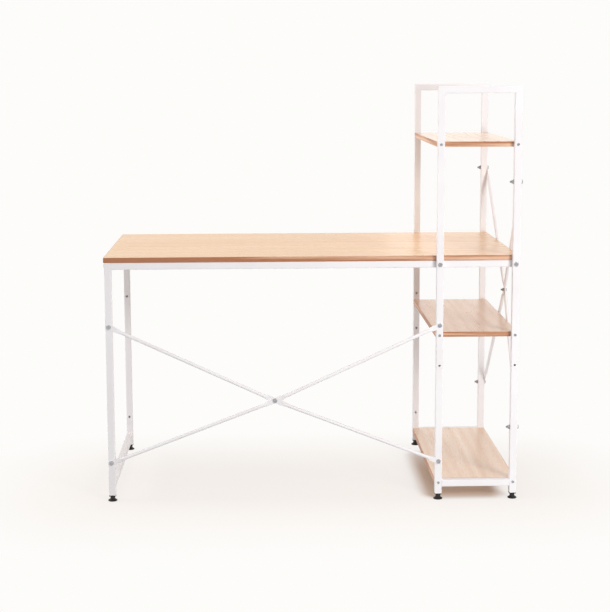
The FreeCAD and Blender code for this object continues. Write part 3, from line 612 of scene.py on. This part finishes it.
def bead(whole, start, end, first, second):
    """A rippled bead along the corner of two faces. First and second run away from it on each face."""
    rings = []
    for step in range(BEAD_STEPS + 1):
        t = step / BEAD_STEPS
        swell = (1 - abs(2 * t - 1) ** BEAD_BLUNTNESS) ** 0.5 * (1 - BEAD_TIP) + BEAD_TIP
        ripple = 1 + BEAD_RIPPLE_DEPTH * math.cos(math.tau * BEAD_RIPPLES * t)
        size = BEAD_SIZE * swell * ripple
        corner = start.lerp(end, t)
        ring = [whole.verts.new(corner)]
        for turn in range(BEAD_ARC + 1):
            angle = math.pi / 2 * turn / BEAD_ARC
            side = first * math.cos(angle) + second * math.sin(angle)
            ring.append(whole.verts.new(corner + side * size))
        rings.append(ring)
    count = len(rings[0])
    for low, high in zip(rings, rings[1:]):
        for step in range(count):
            after = (step + 1) % count
            whole.faces.new((low[step], low[after], high[after], high[step]))
    whole.faces.new(rings[0][::-1])
    whole.faces.new(rings[-1])


def corner_beads(whole, rail, along, levels):
    """Beads where a rail's two ends meet the tubes beside it, above (1) or below (-1) the rail."""
    low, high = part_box(rail)
    across = 1 - along
    for end, inward in ((low[along], 1.0), (high[along], -1.0)):
        for level in levels:
            start = Vector((0.0, 0.0, high.z if level > 0 else low.z))
            start[along] = end
            start[across] = low[across] + BEAD_INSET
            finish = start.copy()
            finish[across] = high[across] - BEAD_INSET
            first = Vector(ZERO)
            first[along] = inward
            bead(whole, start, finish, first, UP * level)


for side in ("front", "rear"):
    welds = bmesh.new()
    corner_beads(welds, f"tower_{side}_bottom_rail", X_AXIS, (1.0, -1.0))
    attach(new_piece(f"tower_{side}_welds", welds, "white_frame"), "desk")
welds = bmesh.new()
corner_beads(welds, "left_stretcher", Y_AXIS, (1.0, -1.0))
corner_beads(welds, "left_top_rail", Y_AXIS, (-1.0,))
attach(new_piece("left_frame_welds", welds, "white_frame"), "desk")

# the stage: a floor that keeps the desk's shadow and turns white away from it, under a white sky

BACKDROP = tint(253, 252, 250)
# The matt floor's warm tone and faint warm glow are painted shade: they give the desk's shadow on the floor
# the warm colour of light thrown back from the oak.
WARM_SHADE_FLOOR_TONE = tint(231, 212, 197)
FLOOR_REACH = 30.0
WARM_SHADE_GLOW_TONE = tint(255, 240, 228)
SHADE_GLOW = 0.02
TOWER_MIDDLE, TOWER_HALF = (0.439, -0.04, 0.0), (0.076, 0.22, 0.0)
TOWER_FADE = (0.01, 0.065)
DESK_MIDDLE, DESK_HALF = (0.0, -0.13, 0.0), (0.55, 0.1, 0.0)
DESK_FADE = (0.0, 0.6)
UNDER_DESK = 0.25
SKY_TONE = tint(255, 252, 252)
SKY_LIGHT = 0.4


def seen_directly(tree):
    """1 for what the camera sees, straight or in a reflection, and 0 for light that falls on things."""
    path = tree.nodes.new("ShaderNodeLightPath").outputs
    total = path["Is Camera Ray"]
    for kind in ("Is Glossy Ray", "Is Transmission Ray"):
        total = reckon(tree, "MAXIMUM", total, path[kind])
    return total


def around(tree, place, middle, half, fade, rest):
    """1 on an oblong patch of the floor, falling softly outside it to what is left further away."""
    offset = reckon_vector(tree, "SUBTRACT", place, middle)
    offset = reckon_vector(tree, "ABSOLUTE", offset)
    offset = reckon_vector(tree, "SUBTRACT", offset, half)
    offset = reckon_vector(tree, "MAXIMUM", offset, ZERO)
    gap = reckon_vector(tree, "LENGTH", offset)
    return span(tree, gap, 1.0, rest, source=fade, smooth=True)


def shine(tree, colour, strength):
    """A surface that gives off light."""
    return add_node(tree, "ShaderNodeEmission", {"Color": colour, "Strength": strength}).outputs["Emission"]


def make_floor():
    """The floor: matt near the desk, where its shadow falls, and the backdrop's white elsewhere."""
    mesh = bpy.data.meshes.new("floor")
    shape = bmesh.new()
    corners = [shape.verts.new((x * FLOOR_REACH, y * FLOOR_REACH, 0.0))
               for x, y in ((-1, -1), (1, -1), (1, 1), (-1, 1))]
    shape.faces.new(corners)
    shape.to_mesh(mesh)
    shape.free()
    floor = bpy.data.objects.new("floor", mesh)
    scene.collection.objects.link(floor)
    look = bpy.data.materials.new("white_floor")
    look.use_nodes = True
    tree = look.node_tree
    tree.nodes.remove(tree.nodes["Principled BSDF"])
    seen = seen_directly(tree)
    # painted shade: a warm matt tone and a faint warm glow tint the shadow near the tower
    matt = add_node(tree, "ShaderNodeBsdfDiffuse", {"Color": WARM_SHADE_FLOOR_TONE}).outputs["BSDF"]
    shade_glow = shine(tree, WARM_SHADE_GLOW_TONE, reckon(tree, "MULTIPLY", seen, SHADE_GLOW))
    near = add_node(tree, "ShaderNodeAddShader", {0: matt, 1: shade_glow}).outputs["Shader"]
    # the matt part is full round the tower, weaker under the rest of the desk and gone further away
    place = tree.nodes.new("ShaderNodeTexCoord").outputs["Object"]
    by_tower = around(tree, place, TOWER_MIDDLE, TOWER_HALF, TOWER_FADE, UNDER_DESK)
    by_desk = around(tree, place, DESK_MIDDLE, DESK_HALF, DESK_FADE, 0.0)
    fade = reckon(tree, "SUBTRACT", 1.0, reckon(tree, "MULTIPLY", by_tower, by_desk))
    amount = reckon(tree, "MULTIPLY", fade, seen)
    far = shine(tree, BACKDROP, 1.0)
    both = add_node(tree, "ShaderNodeMixShader", {0: amount, 1: near, 2: far}).outputs["Shader"]
    tree.links.new(both, tree.nodes["Material Output"].inputs["Surface"])
    dress(floor, look)
    # the floor throws no light back on the desk, which has its light from the sky and the lamps
    floor.visible_diffuse = False


def make_sky():
    """A world that lights the desk evenly and shows as the backdrop."""
    world = bpy.data.worlds.new("studio")
    scene.world = world
    world.use_nodes = True
    tree = world.node_tree
    tree.nodes.clear()
    lit, shown = (
        add_node(tree, "ShaderNodeBackground", {"Color": colour, "Strength": strength}).outputs["Background"]
        for colour, strength in ((SKY_TONE, SKY_LIGHT), (BACKDROP, 1.0))
    )
    inputs = {0: seen_directly(tree), 1: lit, 2: shown}
    either = add_node(tree, "ShaderNodeMixShader", inputs).outputs["Shader"]
    add_node(tree, "ShaderNodeOutputWorld", {"Surface": either})


make_floor()
make_sky()

# area lamps: name, place, target, watts, width and height
LAMPS = (
    ("overhead", (-0.6, -0.1, 3.2), (-0.6, 0.0, 0.0), 25.0, 2.4, 1.6),
    ("key", (2.11, -3.55, 2.04), (0.2, -0.1, 0.6), 76.0, 1.0, 1.0),
    ("left", (-4.4, 0.0, 0.95), (0.0, 0.0, 0.6), 120.0, 2.6, 1.2),
    ("right", (3.9, 0.2, 2.8), (0.0, 0.0, 0.6), 34.0, 2.6, 2.0),
    ("front", (1.3, -2.6, 0.2), (0.4, -0.3, 0.25), 20.0, 1.0, 0.4),
    ("rear", (0.3, 3.4, 1.9), (0.1, 0.0, 0.6), 22.0, 2.0, 1.4),
    ("gloss", (1.05, 2.4, 0.95), (0.47, 0.0, 0.5), 2.0, 1.2, 1.6),
)
GLOSS_LAMP = "gloss"


def lamp(name, place, target, watts, width, height):
    """An area lamp at a place, pointed at a target. Of all lamps, only one shows in the gloss of things."""
    data = bpy.data.lights.new(name, "AREA")
    data.energy = watts
    data.shape = "RECTANGLE"
    data.size = width
    data.size_y = height
    made = bpy.data.objects.new(name, data)
    scene.collection.objects.link(made)
    made.location = place
    made.rotation_euler = (Vector(target) - Vector(place)).to_track_quat("-Z", "Y").to_euler()
    made.visible_camera = False
    made.visible_glossy = name == GLOSS_LAMP


for row in LAMPS:
    lamp(*row)

# the camera, fitted to the photograph: angles in radians, lens and sensor in millimetres
CAMERA_PLACE = (-0.15493, -4.40134, 1.25267)
CAMERA_YAW = -0.0308
CAMERA_PITCH = 0.1379
CAMERA_ROLL = 0.0034
CAMERA_LENS = 84.51
CAMERA_SENSOR = 36.0
CAMERA_SHIFT = -0.0588


def make_camera():
    """The camera that the scene is seen through."""
    data = bpy.data.cameras.new("camera")
    data.lens = CAMERA_LENS
    data.sensor_width = CAMERA_SENSOR
    data.shift_y = CAMERA_SHIFT
    camera = bpy.data.objects.new("camera", data)
    scene.collection.objects.link(camera)
    turn = (Matrix.Rotation(CAMERA_YAW, 3, "Z") @ Matrix.Rotation(math.pi / 2 - CAMERA_PITCH, 3, "X")
            @ Matrix.Rotation(-CAMERA_ROLL, 3, "Z"))
    camera.location = CAMERA_PLACE
    camera.rotation_euler = turn.to_euler()
    scene.camera = camera


make_camera()
scene.view_settings.view_transform = "Standard"
